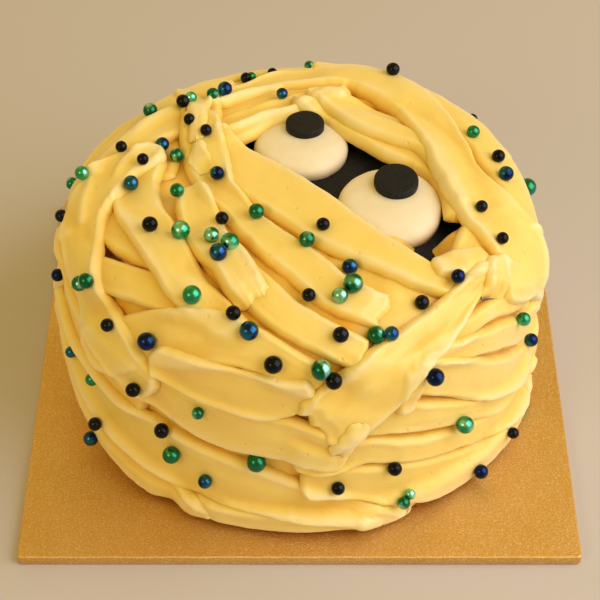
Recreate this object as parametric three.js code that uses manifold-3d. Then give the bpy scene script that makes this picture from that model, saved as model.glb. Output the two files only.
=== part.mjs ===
// A round cake wrapped in wide piped ribbons of icing, with two sugar eyes looking out of a gap
// in the wrapping and sugar pearls scattered over it, on a square gold board.
// Millimetres, +Z up, front towards -Y. The origin is the middle of the board's underside.
// Places on the cake are a bearing and an elevation in degrees, seen from the heart of the cake:
// bearing 0 is the front and 90 the right, elevation 0 is level and 90 is straight up.

import * as THREE from 'three';
import { mergeVertices } from 'three/addons/utils/BufferGeometryUtils.js';
import Module from 'manifold-3d';

const wasm = await Module();
wasm.setup();

// Driving dimensions
const fitGap = 0.3; // between pieces that touch
const board = { width: 250, thickness: 5, cornerRadius: 2 };
const heartHeight = board.thickness + 30;
const dome = { radius: 113, up: 88, down: 50, power: 5 }; // mean face of the wrapping
const core = { radius: 100.5, up: 76, down: 50, power: 3.8, sides: 28, rings: 6 };
// Icing under the ribbons, this deep below the face at the side and on the top
const coat = { side: 8, top: 6.5, from: 12, to: 32, sides: 28, rings: 5 };
const ribbon = { thickness: 4.4, root: 16, step: 16, rim: 2.2, sink: 2.2, press: 0.42, pressFrom: -3.5 };
const even = { wrapping: 0.5, whole: 0.3 }; // facets flatter than this are joined into larger ones
const window = { x: 17, y: 9, length: 116, width: 62, turn: -32, sides: 20 }; // hole in the coat
const pearl = { sunk: 0.22, spacing: 30, fillSize: 6.3, highest: 62, lowest: -9, lowerBy: 0.4 };

const eyes = [
  { side: 'left', x: 0.7, y: 29, diameter: 43.5, height: 9.5, lean: 0, pupil: 18, aside: 1.9, ahead: 7.5 },
  { side: 'right', x: 40.2, y: -14, diameter: 47, height: 10.5, lean: 7, pupil: 20, aside: 3, ahead: 8.5 },
];
const pupilHeight = 4.6;

// Round the back: rows of ribbons up the side, two to a row, tilted one way or the other
const back = { count: 12, rows: 6, lowest: -8, rise: 10, width: 23, starts: [82, 174], sweep: 89 };

// The other ribbons in the order they are piped, each through places [bearing, elevation, width]
const ribbons = [
  { stops: [[-112, 14, 18], [-99, 10, 18], [-84, 12, 16]] },
  { thickness: 3.8, stops: [
    [-90, 3, 16], [-73, -3, 17], [-58, -8, 16], [-46, -10, 15], [-33, -12, 13]] },
  { thickness: 3.8, stops: [[-24, -12, 14], [-4, -12, 16], [14, -12, 15], [28, -12, 12]] },
  { thickness: 4, stops: [[12, -12, 15], [29, -11, 16], [45, -11, 16], [60, -11, 15], [84, -9, 16]] },
  { thickness: 5.2, stops: [
    [-30, -11, 12], [-18, -12, 17], [-6, -12, 18], [8, -13, 17], [20, -14, 14]] },
  { thickness: 4.4, stops: [
    [-88, 9, 18], [-71, 3, 20], [-60, -2, 21], [-49, -6, 21], [-38, -9, 21], [-29, -12, 19],
    [-20, -15, 16]] },
  { stops: [[-88, 27, 20], [-66, 34, 20], [-45, 40, 20], [-28, 42, 20]] },
  { stops: [[-98, 36, 21], [-67, 43, 21], [-40, 49, 21]] },
  { stops: [[-75, 34, 22], [-98, 38, 23], [-119, 43, 23], [-142, 46, 21]] },
  { stops: [[-92, 41, 20], [-115, 48, 20], [-138, 53, 20]] },
  { thickness: 3, stops: [[174, 43, 20], [160, 43, 20], [130, 44, 20], [100, 40, 20]] },
  { stops: [[-136, 45, 20], [-159, 48, 20], [-181, 46, 20]] },
  { stops: [[-92, 26, 22], [-76, 18, 22], [-57, 16, 22], [-38, 13, 20]] },
  { stops: [
    [-84, 13, 24], [-67, 8, 28], [-52, 5, 31], [-38, 2, 32], [-25, 0, 31], [-12, -2, 26],
    [0, -5, 20], [13, -9, 15], [27, -15, 9]] },
  { stops: [
    [0, 1, 17], [9, 0, 18], [17, -2, 20], [26, -5, 23], [36, -8, 23], [48, -10, 19], [61, -11, 16],
    [80, -10, 15]] },
  { stops: [
    [-2, 9, 20], [7, 8, 19], [16, 8, 17], [25, 5, 15], [36, 2, 15], [47, -1, 15], [61, -5, 14],
    [80, -6, 14]] },
  { stops: [
    [2, 19, 22], [11, 18, 23], [19, 17, 21], [28, 14, 19], [38, 10, 16], [48, 6, 14], [61, 1, 13],
    [80, 1, 14]] },
  { stops: [
    [-60, 21, 22], [-48, 22, 22], [-38, 20, 23], [-28, 17, 25], [-18, 15, 28], [-8, 14, 28],
    [1, 13, 25], [12, 9, 22]] },
  { stops: [[28, 30, 10], [37, 31, 11], [45, 31, 11], [54, 30, 11], [65, 25, 12], [79, 20, 12]] },
  { stops: [[26, 29, 10], [34, 29, 11], [44, 26, 14], [55, 22, 16], [68, 15, 17], [80, 10, 17]] },
  { stops: [
    [12, 30, 17], [24, 27, 20], [32, 24, 22], [41, 19, 22], [52, 12, 21], [65, 5, 20], [80, 1, 19]] },
  { stops: [
    [-107, 51, 13], [-98, 51, 18], [-88, 49, 22], [-73, 49, 23], [-57, 49, 22], [-44, 47, 21],
    [-34, 44, 20], [-25, 42, 18], [-15, 38, 16]] },
  { stops: [
    [-56, 20, 22], [-48, 24, 25], [-38, 31, 26], [-26, 35, 27], [-15, 36, 24], [-4, 33, 19],
    [6, 28, 15]] },
  { stops: [
    [-108, 53, 12], [-100, 51, 16], [-94, 46, 21], [-86, 42, 26], [-79, 38, 27], [-70, 35, 25],
    [-62, 31, 25], [-55, 28, 25], [-47, 26, 25], [-40, 23, 23], [-33, 21, 18]] },
  { stops: [[-44, 57, 18], [-32, 54, 19], [-18, 50, 20], [-5, 44, 19], [5, 39, 18], [16, 33, 17]] },
  { stops: [
    [-138, 54, 14], [-151, 55, 12], [-163, 55, 11], [-176, 54, 10], [170, 53, 10], [160, 51, 10]] },
  { stops: [
    [-128, 59, 12], [-143, 60, 12], [-161, 60, 11], [-178, 58, 11], [168, 56, 10], [158, 52, 10]] },
  { stops: [
    [-119, 62, 10], [-129, 63, 11], [-144, 64, 10], [-161, 63, 9], [-177, 62, 9], [170, 58, 9],
    [159, 54, 9]] },
  { stops: [
    [-176, 57, 6], [176, 60, 9], [161, 61, 13], [140, 62, 18], [119, 60, 21], [103, 56, 17],
    [86, 52, 12], [69, 49, 10]] },
  { stops: [
    [178, 55, 8], [168, 57, 13], [155, 58, 20], [142, 59, 22], [125, 57, 22], [109, 54, 16],
    [90, 52, 11], [73, 48, 10]] },
  { stops: [
    [-132, 52, 14], [-115, 66, 19], [-86, 77, 25], [-2, 77, 26], [24, 66, 26], [36, 57, 25],
    [41, 48, 22], [47, 41, 16]] },
  { thickness: 7.4, stops: [[88, 36, 22], [76, 31, 26], [64, 25, 24]] },
  { stops: [[70, 43, 26], [64, 43, 25], [59, 45, 23], [56, 46, 17], [52, 47, 9]] },
  { stops: [
    [163, 41, 20], [145, 44, 22], [130, 44, 22], [116, 43, 22], [101, 41, 22], [88, 37, 22],
    [80, 31, 20]] },
  { thickness: 5.4, sink: 2.6, press: 0.45, stops: [
    [-158, 50, 15], [-176, 48, 19], [160, 46, 22], [139, 48, 23], [124, 50, 23], [109, 51, 23],
    [93, 50, 24], [82, 47, 28], [75, 42, 33], [71, 36, 38], [67, 30, 37], [64, 25, 33]] },
  { stops: [
    [-143, 47, 17], [-139, 51, 19], [-124, 58, 21], [-104, 64, 21], [-76, 67, 17], [-49, 68, 15],
    [-25, 65, 18], [-7, 60, 20], [4, 55, 21], [11, 49, 21], [18, 45, 20], [25, 41, 20]] },
  { stops: [
    [-84, 61, 14], [-66, 60, 18], [-50, 58, 20], [-38, 55, 20], [-27, 53, 19], [-19, 49, 18],
    [-12, 45, 17]] },
  { stops: [[-36, 28, 16], [-26, 27, 22], [-16, 26, 24], [-6, 25, 24], [4, 26, 18]] },
  { stops: [
    [59, 38, 14], [47, 37, 15], [37, 35, 19], [29, 33, 22], [22, 30, 28], [16, 26, 33],
    [10, 22, 35], [3, 17, 33]] },
  { stops: [[27, 28, 12], [25, 24, 12], [24, 19, 9]] },
  { stops: [[62, 39, 12], [58, 36, 14], [53, 32, 11]] },
];

// The pearls that stand out on the front and the top: [bearing, elevation, diameter]
const placedPearls = [
  [-170, 49, 5], [-134, 49, 6.5], [-125, 54, 5.5], [-122, 60, 5.5], [-104, 45, 5.5],
  [-97, 51, 5.5], [-85, 33, 6], [-61, 49, 7], [-44, 61, 6], [13, 66, 6], [2, 47, 6],
  [-18, 42, 6.5], [-48, 29, 6], [32, 41, 6.5], [9, 39, 7], [-6, 33, 8], [7, 30, 7.5],
  [151, 43, 6.5], [101, 43, 6], [74, 46, 5.5], [66, 40, 5.5], [-32, 11, 7], [8, 2, 6],
  [21, 5, 6.5], [57, -7, 5.5], [-160, 49, 5.5], [-39, 19, 6.5], [-54, -2, 6.5], [-150, 51, 7],
  [-105, 53, 6.5], [-84, 49, 7], [-83, 67, 6.5], [-32, 53, 8], [-13, 39, 8.5], [-37, 31, 8],
  [17, 52, 7], [22, 37, 6.5], [30, 26, 8], [46, 42, 6.5], [93, 42, 7], [62, 17, 6.5], [-66, 13, 5],
  [-21, 0, 6.5], [45, -10, 7], [-74, 25, 6], [-57, -10, 7], [-99, 58, 6.5],
  [-96, 38, 6.5], [-74, 58, 6.5], [-51, 53, 8.5], [-40, 56, 7], [-31, 57, 8], [-32, 68, 7],
  [3, 61, 7], [-62, 31, 7], [16, 48, 8.5], [11, 46, 7], [-30, 43, 8.5], [18, 38, 8], [4, 32, 9],
  [112, 45, 6], [90, 38, 8.5], [58, 25, 6.5], [-53, 13, 6], [-29, 5, 8], [-22, 20, 5.5],
  [-10, 10, 9], [23, -7, 6], [38, 9, 8], [61, -2, 6],
];

const colours = { icing: 0xf0cd62, ivory: 0xefdcb8, liquorice: 0x17171a, gold: 0xc98a3a };

// Places and directions on the cake

const rad = THREE.MathUtils.degToRad;
const deg = THREE.MathUtils.radToDeg;
const clamp = THREE.MathUtils.clamp;
const heart = new THREE.Vector3(0, 0, heartHeight);

function direction(bearing, elevation) {
  const level = Math.cos(rad(elevation));
  const [x, y] = [Math.sin(rad(bearing)) * level, -Math.cos(rad(bearing)) * level];
  return new THREE.Vector3(x, y, Math.sin(rad(elevation)));
}

function onDome(dir, shape = dome) {
  const across = Math.hypot(dir.x, dir.y) / shape.radius;
  const upward = dir.z > 0 ? dir.z / shape.up : -dir.z / shape.down;
  const reach = (across ** shape.power + upward ** shape.power) ** (-1 / shape.power);
  return dir.clone().multiplyScalar(reach).add(heart);
}

function domeNormal(dir) {
  const p = onDome(dir).sub(heart);
  const level = Math.hypot(p.x, p.y) ** (dome.power - 2) / dome.radius ** dome.power;
  const half = p.z > 0 ? dome.up : dome.down;
  const rise = Math.sign(p.z) * Math.abs(p.z) ** (dome.power - 1) / half ** dome.power;
  return new THREE.Vector3(p.x * level, p.y * level, rise).normalize();
}

const raised = (dir, height) => onDome(dir).addScaledVector(domeNormal(dir), height);
const fromHeart = (point) => point.clone().sub(heart).normalize();
const spaced = (from, to, count) => Array.from(
  { length: count + 1 }, (_, i) => from + (to - from) * i / count);

const coatHeight = (elevation) => -THREE.MathUtils.lerp(
  coat.side, coat.top, THREE.MathUtils.smoothstep(elevation, coat.from, coat.to));

// The height of the icing over the mean face, kept on a round map centred on the cake's top

const map = { cell: 1, reach: 116 };
map.side = Math.round(2 * map.reach / map.cell) + 1;
map.heights = Float64Array.from({ length: map.side * map.side }, (_, k) => {
  const [i, j] = [Math.floor(k / map.side), k % map.side];
  return coatHeight(90 - Math.hypot(i * map.cell - map.reach, j * map.cell - map.reach));
});

function mapPlace(dir) {
  const fromTop = deg(Math.acos(clamp(dir.z, -1, 1)));
  const level = Math.hypot(dir.x, dir.y) + 1e-9;
  return [dir.x, dir.y].map(
    (v) => clamp((map.reach + fromTop * v / level) / map.cell, 0, map.side - 1.01));
}

function heightAt(dir) {
  const [u, v] = mapPlace(dir);
  const [i, j] = [Math.floor(u), Math.floor(v)];
  const [fu, fv] = [u - i, v - j];
  const at = (a, b) => map.heights[a * map.side + b];
  return (at(i, j) * (1 - fu) + at(i + 1, j) * fu) * (1 - fv)
    + (at(i, j + 1) * (1 - fu) + at(i + 1, j + 1) * fu) * fv;
}

function raiseTo(dir, height) {
  const [i, j] = mapPlace(dir).map(Math.round);
  const k = i * map.side + j;
  map.heights[k] = Math.max(map.heights[k], height);
}

// Solids and booleans

function toSolid(geometry) {
  const bare = geometry.clone();
  bare.deleteAttribute('normal');
  bare.deleteAttribute('uv');
  const merged = mergeVertices(bare, 1e-4);
  return new wasm.Manifold(new wasm.Mesh({
    numProp: 3,
    vertProperties: new Float32Array(merged.attributes.position.array),
    triVerts: new Uint32Array(merged.index.array),
  }));
}

function toGeometry(solid) {
  const mesh = solid.getMesh();
  const geometry = new THREE.BufferGeometry();
  geometry.setAttribute('position', new THREE.BufferAttribute(mesh.vertProperties, 3));
  geometry.setIndex(new THREE.BufferAttribute(mesh.triVerts, 1));
  return geometry;
}

function joinAll(solids) {
  let joined = solids;
  while (joined.length > 1) {
    joined = joined.flatMap((s, i) => (i % 2 ? [] : [joined[i + 1] ? s.add(joined[i + 1]) : s]));
  }
  return joined[0];
}

// A closed body between two equal grids of points, the outer face and the inner one
function slab(outer, inner) {
  const [rows, columns] = [outer.length, outer[0].length];
  const [lastRow, lastColumn] = [rows - 1, columns - 1];
  const top = (i, j) => i * columns + j;
  const under = (i, j) => rows * columns + top(i, j);
  const faces = [];
  const quad = (a, b, c, d) => faces.push(a, b, c, a, c, d);
  for (let i = 0; i < lastRow; i += 1) {
    for (let j = 0; j < lastColumn; j += 1) {
      quad(top(i, j), top(i + 1, j), top(i + 1, j + 1), top(i, j + 1));
      quad(under(i, j), under(i, j + 1), under(i + 1, j + 1), under(i + 1, j));
    }
    quad(top(i, 0), under(i, 0), under(i + 1, 0), top(i + 1, 0));
    quad(top(i, lastColumn), top(i + 1, lastColumn), under(i + 1, lastColumn), under(i, lastColumn));
  }
  for (let j = 0; j < lastColumn; j += 1) {
    quad(top(0, j), top(0, j + 1), under(0, j + 1), under(0, j));
    quad(top(lastRow, j), under(lastRow, j), under(lastRow, j + 1), top(lastRow, j + 1));
  }
  const geometry = new THREE.BufferGeometry().setFromPoints([...outer.flat(), ...inner.flat()]);
  return geometry.setIndex(faces);
}

// One ribbon: its route over the cake, how it drapes over what is there, and its solid

function routeFrames(stops, step) {
  const corners = stops.map(([bearing, elevation]) => onDome(direction(bearing, elevation)));
  const curve = new THREE.CatmullRomCurve3(corners, false, 'catmullrom', 0.5);
  const count = Math.max(Math.ceil(curve.getLength() / step), 2);
  const dirs = curve.getSpacedPoints(count).map(fromHeart);
  const line = dirs.map((dir) => onDome(dir));
  return line.map((point, i) => {
    const ahead = line[Math.min(i + 1, count)].clone().sub(line[Math.max(i - 1, 0)]);
    const place = curve.getUtoTmapping(i / count) * (stops.length - 1);
    const before = Math.min(Math.floor(place), stops.length - 2);
    const width = THREE.MathUtils.lerp(stops[before][2], stops[before + 1][2], place - before);
    return { point, half: width / 2, across: domeNormal(dirs[i]).cross(ahead).normalize() };
  });
}

// Directions to a grid over a ribbon: rows 0 to 1 along it and columns -1 to 1 across it
function ribbonGrid({ frames, width, length }, rows, columns) {
  const last = frames.length - 1;
  const roundEnd = (u) => width / 2 * (1 - Math.sqrt(1 - u * u)) / length;
  return rows.map((along) => columns.map((u) => {
    const [start, end] = [0.75 * roundEnd(u), 1 - 0.35 * roundEnd(u)];
    const t = (start + (end - start) * along) * last;
    const i = Math.min(Math.floor(t), last - 1);
    const point = frames[i].point.clone().lerp(frames[i + 1].point, t - i);
    const across = frames[i].across.clone().lerp(frames[i + 1].across, t - i);
    const half = THREE.MathUtils.lerp(frames[i].half, frames[i + 1].half, t - i);
    return fromHeart(point.addScaledVector(across, u * half));
  }));
}

function smoothed(values, reach) {
  const span = Math.ceil(2.5 * reach);
  const weights = spaced(-span, span, 2 * span).map((k) => Math.exp(-0.5 * (k / reach) ** 2));
  const total = weights.reduce((a, b) => a + b);
  const last = values.length - 1;
  return values.map((_, i) => weights.reduce(
    (sum, weight, k) => sum + weight * values[clamp(i + k - span, 0, last)], 0) / total);
}

// Lays a ribbon on the map and gives the height that it rests at. It bridges what lies under it,
// so the heights are evened out along it and then across it.
function drape({ stops, ...own }) {
  const fineStep = 1.5;
  const use = { ...ribbon, ...own };
  const frames = routeFrames(stops, fineStep);
  const width = 2 * frames.reduce((sum, frame) => sum + frame.half, 0) / frames.length;
  const laid = { frames, width, thickness: use.thickness, length: fineStep * (frames.length - 1) };
  const rows = spaced(0, 1, frames.length);
  const columns = spaced(-1, 1, Math.round(width / 1.2));
  const dirs = ribbonGrid(laid, rows, columns);
  const under = dirs.map((row) => row.map(heightAt));
  const evened = columns.map((_, j) => smoothed(under.map((row) => row[j]), 5 / fineStep));
  const pressed = (height) => height + (use.press - 1) * Math.max(height - use.pressFrom, 0);
  const rest = under.map((row, i) => smoothed(columns.map((_, j) => evened[j][i]), 1.3)
    .map((height, j) => Math.max(pressed(height), row[j] - use.sink)));
  dirs.forEach((row, i) => row.forEach((dir, j) => {
    const atEdge = Math.abs(columns[j]) > 0.95 || i === 0 || i === rows.length - 1;
    raiseTo(dir, rest[i][j] + use.thickness * (atEdge ? 0.5 : 1));
  }));
  laid.restAt = (along, u) => rest[Math.round(along * (rows.length - 1))][
    Math.round((u + 1) / 2 * (columns.length - 1))];
  return laid;
}

function backRibbons() {
  return spaced(0, back.count - 1, back.count - 1).map((k) => {
    const [nudge, lean] = [k * 0.618 % 1, k * 0.755 % 1];
    const start = back.starts[Math.floor(k * 7 % back.count / (back.count / 2))] - 8 * nudge;
    const sweep = back.sweep + 14 * lean;
    const level = back.lowest + back.rise * (k * 5 % back.rows);
    const tilt = (4 + 7 * lean) * (k % 2 ? 1 : -1);
    const width = back.width + 3 * nudge;
    return {
      stops: [[start, level - tilt, width], [start + sweep / 2, level + 3 * nudge, width],
        [start + sweep, level + tilt, width]],
    };
  });
}

function ribbonSolid(laid) {
  const flat = 1 - 2 * ribbon.rim / laid.width;
  const columns = [-1, -flat, 0, flat, 1];
  const end = ribbon.rim / laid.length;
  const rows = [0, ...spaced(end, 1 - end, Math.max(Math.round(laid.length / ribbon.step), 2)), 1];
  const dirs = ribbonGrid(laid, rows, columns);
  const outer = dirs.map((row, i) => row.map((dir, j) => {
    const atEdge = i % (rows.length - 1) === 0 || j % (columns.length - 1) === 0;
    return raised(dir, laid.restAt(rows[i], columns[j]) + laid.thickness * (atEdge ? 0.5 : 1));
  }));
  return toSolid(slab(outer, dirs.map((row) => row.map((dir) => raised(dir, -ribbon.root)))));
}

// Bodies of revolution about the cake's axis, from a level just over the board

function roundBody(shape) {
  const floor = board.thickness + fitGap;
  const profile = spaced(90, -18, shape.rings).map((elevation) => {
    const point = onDome(direction(90, elevation), shape);
    return new THREE.Vector2(point.x, point.z);
  });
  profile[0].x = 0;
  profile[shape.rings].y = floor;
  profile.push(new THREE.Vector2(0, floor));
  return new THREE.LatheGeometry(profile.reverse(), shape.sides).rotateX(Math.PI / 2);
}

const grown = (shape, by) => ({ ...shape, radius: shape.radius + by, up: shape.up + by });

function windowSolid() {
  const turn = rad(window.turn);
  const hole = new THREE.Shape().absellipse(
    window.x, window.y, window.length / 2, window.width / 2, 0, 2 * Math.PI, false, turn);
  const shape = new THREE.Shape(hole.getSpacedPoints(window.sides).slice(0, -1));
  const geometry = new THREE.ExtrudeGeometry(shape, { depth: dome.up, bevelEnabled: false });
  return toSolid(geometry.translate(0, 0, heartHeight + dome.up / 2));
}

// Sugar eyes and pupils, round buttons with a domed face; grow leaves room round them

function button(diameter, height, fullness, depth, sides, steps) {
  const radius = diameter / 2;
  const profile = [new THREE.Vector2(0, -depth), new THREE.Vector2(radius - 1.5, -depth)];
  spaced(0, 90, steps).forEach((turn) => profile.push(new THREE.Vector2(
    radius * Math.cos(rad(turn)) ** (2 / fullness),
    height * (0.25 + 0.75 * Math.sin(rad(turn)) ** (2 / fullness)))));
  profile[profile.length - 1].x = 0;
  return new THREE.LatheGeometry(profile, sides).rotateX(Math.PI / 2);
}

function coreTop(x, y) {
  const across = Math.hypot(x, y) / core.radius;
  return heartHeight + core.up * (1 - across ** core.power) ** (1 / core.power);
}

function eyeball(eye, grow) {
  const body = button(eye.diameter + 2 * grow, eye.height + grow, 2.4, 6, 28, 5);
  return body.rotateX(rad(eye.lean)).translate(eye.x, eye.y, coreTop(eye.x, eye.y));
}

function pupilBody(eye, grow) {
  const body = button(eye.pupil + 2 * grow, pupilHeight + grow, 7, 4, 20, 3);
  body.translate(eye.aside, eye.ahead, eye.height - 1);
  return body.rotateX(rad(eye.lean)).translate(eye.x, eye.y, coreTop(eye.x, eye.y));
}

// Pearls: the placed ones, then more by an even spread wherever there is room for one

function allPearls() {
  const pearls = placedPearls.map(([bearing, elevation, size]) => (
    { dir: direction(bearing, elevation), size }));
  const [low, high] = [pearl.lowest, pearl.highest].map((angle) => Math.sin(rad(angle)));
  for (let k = 1; k < 600; k += 1) {
    const elevation = deg(Math.asin(low + (high - low) * (k * 0.7549 % 1)));
    const dir = direction(360 * (k * 0.5698 % 1), elevation);
    const size = pearl.fillSize + 1.5 * Math.sin(k);
    const clear = pearls.every((other) => onDome(other.dir).distanceTo(onDome(dir)) > pearl.spacing);
    if (clear) pearls.push({ dir, size });
  }
  return pearls;
}

// A pearl is pressed a little way in, and lowered further until it is bedded in the icing
function pearlSolid({ dir, size }, icing) {
  const ball = toSolid(new THREE.IcosahedronGeometry(size / 2, 0));
  let [height, placed] = [heightAt(dir) + size * (0.5 - pearl.sunk), ball];
  do {
    placed = ball.translate(raised(dir, height).toArray());
    height -= pearl.lowerBy;
  } while (placed.intersect(icing).volume() < pearl.sunk ** 2 * placed.volume());
  return placed;
}

// The pieces

function makeBoard() {
  const half = board.width / 2 - board.cornerRadius;
  const outline = new THREE.Shape();
  [[1, -1], [1, 1], [-1, 1], [-1, -1]].forEach(([sx, sy], i) => {
    outline.absarc(sx * half, sy * half, board.cornerRadius, rad(90 * (i - 1)), rad(90 * i));
  });
  return new THREE.ExtrudeGeometry(
    outline, { depth: board.thickness, bevelEnabled: false, curveSegments: 4 });
}

function makeIcing(coreRoom, eyeRooms) {
  const bed = { ...dome, ...coat, radius: dome.radius - coat.side, up: dome.up - coat.top };
  const under = toSolid(roundBody(bed)).subtract(windowSolid());
  const wrapping = [...backRibbons(), ...ribbons].map(drape).map(ribbonSolid);
  const bare = joinAll([under, ...wrapping]).asOriginal().simplify(even.wrapping);
  const whole = joinAll([bare, ...allPearls().map((one) => pearlSolid(one, bare))]);
  const boardRoom = new THREE.BoxGeometry(2 * board.width, 2 * board.width, board.width);
  boardRoom.translate(0, 0, board.thickness + fitGap - board.width / 2);
  const cut = joinAll([coreRoom, toSolid(boardRoom), ...eyeRooms]);
  const pieces = whole.subtract(cut).asOriginal().simplify(even.whole).decompose();
  return pieces.sort((a, b) => b.volume() - a.volume())[0];
}

function addPiece(group, name, geometry, colour, roughness, metalness = 0) {
  const material = new THREE.MeshStandardMaterial({ color: colour, roughness, metalness });
  const mesh = new THREE.Mesh(geometry, material);
  mesh.name = name;
  group.add(mesh);
}

const group = new THREE.Group();
const coreRoom = toSolid(roundBody(grown(core, fitGap)));
addPiece(group, 'cake_board', makeBoard(), colours.gold, 0.35, 0.9);
addPiece(group, 'cake_core', roundBody(core), colours.liquorice, 0.8);
eyes.forEach((eye) => {
  const ball = toSolid(eyeball(eye, 0)).subtract(coreRoom);
  const pupil = toSolid(pupilBody(eye, 0)).subtract(toSolid(eyeball(eye, fitGap)));
  addPiece(group, `eye_${eye.side}`, toGeometry(ball), colours.ivory, 0.5);
  addPiece(group, `pupil_${eye.side}`, toGeometry(pupil), colours.liquorice, 0.7);
});
const eyeRooms = eyes.flatMap((eye) => [eyeball(eye, fitGap), pupilBody(eye, fitGap)].map(toSolid));
addPiece(group, 'icing_ribbons', toGeometry(makeIcing(coreRoom, eyeRooms)), colours.icing, 0.45);

export default group;
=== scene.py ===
from math import pi, radians

import bmesh
import bpy
import numpy as np
from mathutils import Matrix, Vector


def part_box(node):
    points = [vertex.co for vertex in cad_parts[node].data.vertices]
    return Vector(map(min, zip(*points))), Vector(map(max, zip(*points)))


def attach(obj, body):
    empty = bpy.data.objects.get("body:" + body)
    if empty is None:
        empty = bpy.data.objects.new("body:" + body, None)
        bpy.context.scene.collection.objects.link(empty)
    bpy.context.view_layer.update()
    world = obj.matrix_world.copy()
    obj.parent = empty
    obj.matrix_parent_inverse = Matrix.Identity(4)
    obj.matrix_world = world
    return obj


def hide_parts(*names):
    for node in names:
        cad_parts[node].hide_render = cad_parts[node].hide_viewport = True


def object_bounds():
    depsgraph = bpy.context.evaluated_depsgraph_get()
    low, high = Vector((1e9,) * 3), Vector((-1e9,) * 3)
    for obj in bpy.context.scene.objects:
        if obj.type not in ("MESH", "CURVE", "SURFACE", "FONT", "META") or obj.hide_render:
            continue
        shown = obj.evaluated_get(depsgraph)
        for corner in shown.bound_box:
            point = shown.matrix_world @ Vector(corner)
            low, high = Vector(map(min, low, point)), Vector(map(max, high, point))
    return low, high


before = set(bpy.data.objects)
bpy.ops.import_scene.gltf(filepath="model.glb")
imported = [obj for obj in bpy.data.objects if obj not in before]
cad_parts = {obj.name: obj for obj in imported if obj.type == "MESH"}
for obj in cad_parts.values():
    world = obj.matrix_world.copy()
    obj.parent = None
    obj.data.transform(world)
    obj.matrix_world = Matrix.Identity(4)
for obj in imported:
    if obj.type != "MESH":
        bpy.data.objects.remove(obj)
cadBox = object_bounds()
scene = bpy.context.scene
print("frame loaded:", ", ".join(sorted(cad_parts)))

# Everything is worked out in millimetres and scaled to metres when a mesh is made.
# Places on the cake are bearing and elevation in degrees, seen from the heart of the cake.
boardLow, boardHigh = [corner * 1000 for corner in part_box("cake_board")]
dome = {"radius": 113, "up": 88, "down": 50, "power": 5}
heart = np.array([0, 0, boardHigh.z + 30])


def unit(v):
    return v / np.linalg.norm(v, axis=-1, keepdims=True)


def direction(bearing, elevation):
    b, e = np.radians(bearing), np.radians(elevation)
    return np.stack([np.sin(b) * np.cos(e), -np.cos(b) * np.cos(e), np.sin(e)], -1)


def onDome(d, shape=dome):
    across = np.hypot(d[..., 0], d[..., 1]) / shape["radius"]
    upward = np.where(d[..., 2] > 0, d[..., 2] / shape["up"], -d[..., 2] / shape["down"])
    reach = (across ** shape["power"] + upward ** shape["power"]) ** (-1 / shape["power"])
    return heart + d * reach[..., None]


def domeNormal(points):
    p = points - heart
    level = (np.hypot(p[..., 0], p[..., 1]) + 1e-9) ** (dome["power"] - 2) / dome["radius"] ** dome["power"]
    half = np.where(p[..., 2] > 0, dome["up"], dome["down"])
    rise = np.sign(p[..., 2]) * np.abs(p[..., 2]) ** (dome["power"] - 1) / half ** dome["power"]
    return unit(np.stack([p[..., 0] * level, p[..., 1] * level, rise], -1))


# The height of the icing over the dome, on a round map centred on the cake's top
reliefMap = {"cell": 0.5, "reach": 116, "coatLow": -8.0, "coatTop": -6.5, "from": 12, "to": 32}
mapSide = int(2 * reliefMap["reach"] / reliefMap["cell"]) + 1


def coatHeight(d):
    # the icing under the ribbons is thicker on the top than on the sides
    low, high = np.sin(radians(reliefMap["from"])), np.sin(radians(reliefMap["to"]))
    share = np.clip((d[..., 2] - low) / (high - low), 0, 1)
    low, top = reliefMap["coatLow"], reliefMap["coatTop"]
    return low + (top - low) * share * share * (3 - 2 * share)


cellPlaces = np.arange(mapSide) * reliefMap["cell"] - reliefMap["reach"]
fromTop = np.radians(np.hypot(*np.meshgrid(cellPlaces, cellPlaces, indexing="ij")))
relief = coatHeight(np.stack([np.sin(fromTop), 0 * fromTop, np.cos(fromTop)], -1))


def mapPlace(d):
    fromTop = np.degrees(np.arccos(np.clip(d[..., 2], -1, 1)))
    level = np.hypot(d[..., 0], d[..., 1]) + 1e-9
    return [np.clip((reliefMap["reach"] + fromTop * d[..., k] / level) / reliefMap["cell"], 0, mapSide - 1.01)
            for k in (0, 1)]


def heightAt(d, heights=None):
    heights = relief if heights is None else heights
    u, v = mapPlace(d)
    i, j = u.astype(int), v.astype(int)
    fu, fv = u - i, v - j
    near = heights[i, j] * (1 - fu) + heights[i + 1, j] * fu
    far = heights[i, j + 1] * (1 - fu) + heights[i + 1, j + 1] * fu
    return near * (1 - fv) + far * fv


def raiseRelief(d, height):
    # four steps each way between grid points, so that no cell of the map is missed
    here, ahead = slice(0, -1), slice(1, None)
    corners = [(here, here), (ahead, here), (here, ahead), (ahead, ahead)]
    for fa in (0, 0.25, 0.5, 0.75):
        for fb in (0, 0.25, 0.5, 0.75):
            parts = [(1 - fa) * (1 - fb), fa * (1 - fb), (1 - fa) * fb, fa * fb]
            between = unit(sum(w * d[c] for w, c in zip(parts, corners)))
            level = sum(w * height[c] for w, c in zip(parts, corners))
            i, j = [np.round(place).astype(int).ravel() for place in mapPlace(between)]
            np.maximum.at(relief, (i, j), level.ravel())


def softNoise(seed, a, b):
    # smooth noise between -1 and 1, one bump for each whole step of a and b
    lattice = np.random.default_rng(seed).uniform(-1, 1, (64, 64))
    i, j = np.floor(a).astype(int), np.floor(b).astype(int)
    fa, fb = a - i, b - j
    fa, fb = fa * fa * (3 - 2 * fa), fb * fb * (3 - 2 * fb)
    near = lattice[i % 64, j % 64] * (1 - fa) + lattice[(i + 1) % 64, j % 64] * fa
    far = lattice[i % 64, (j + 1) % 64] * (1 - fa) + lattice[(i + 1) % 64, (j + 1) % 64] * fa
    return near * (1 - fb) + far * fb


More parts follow.
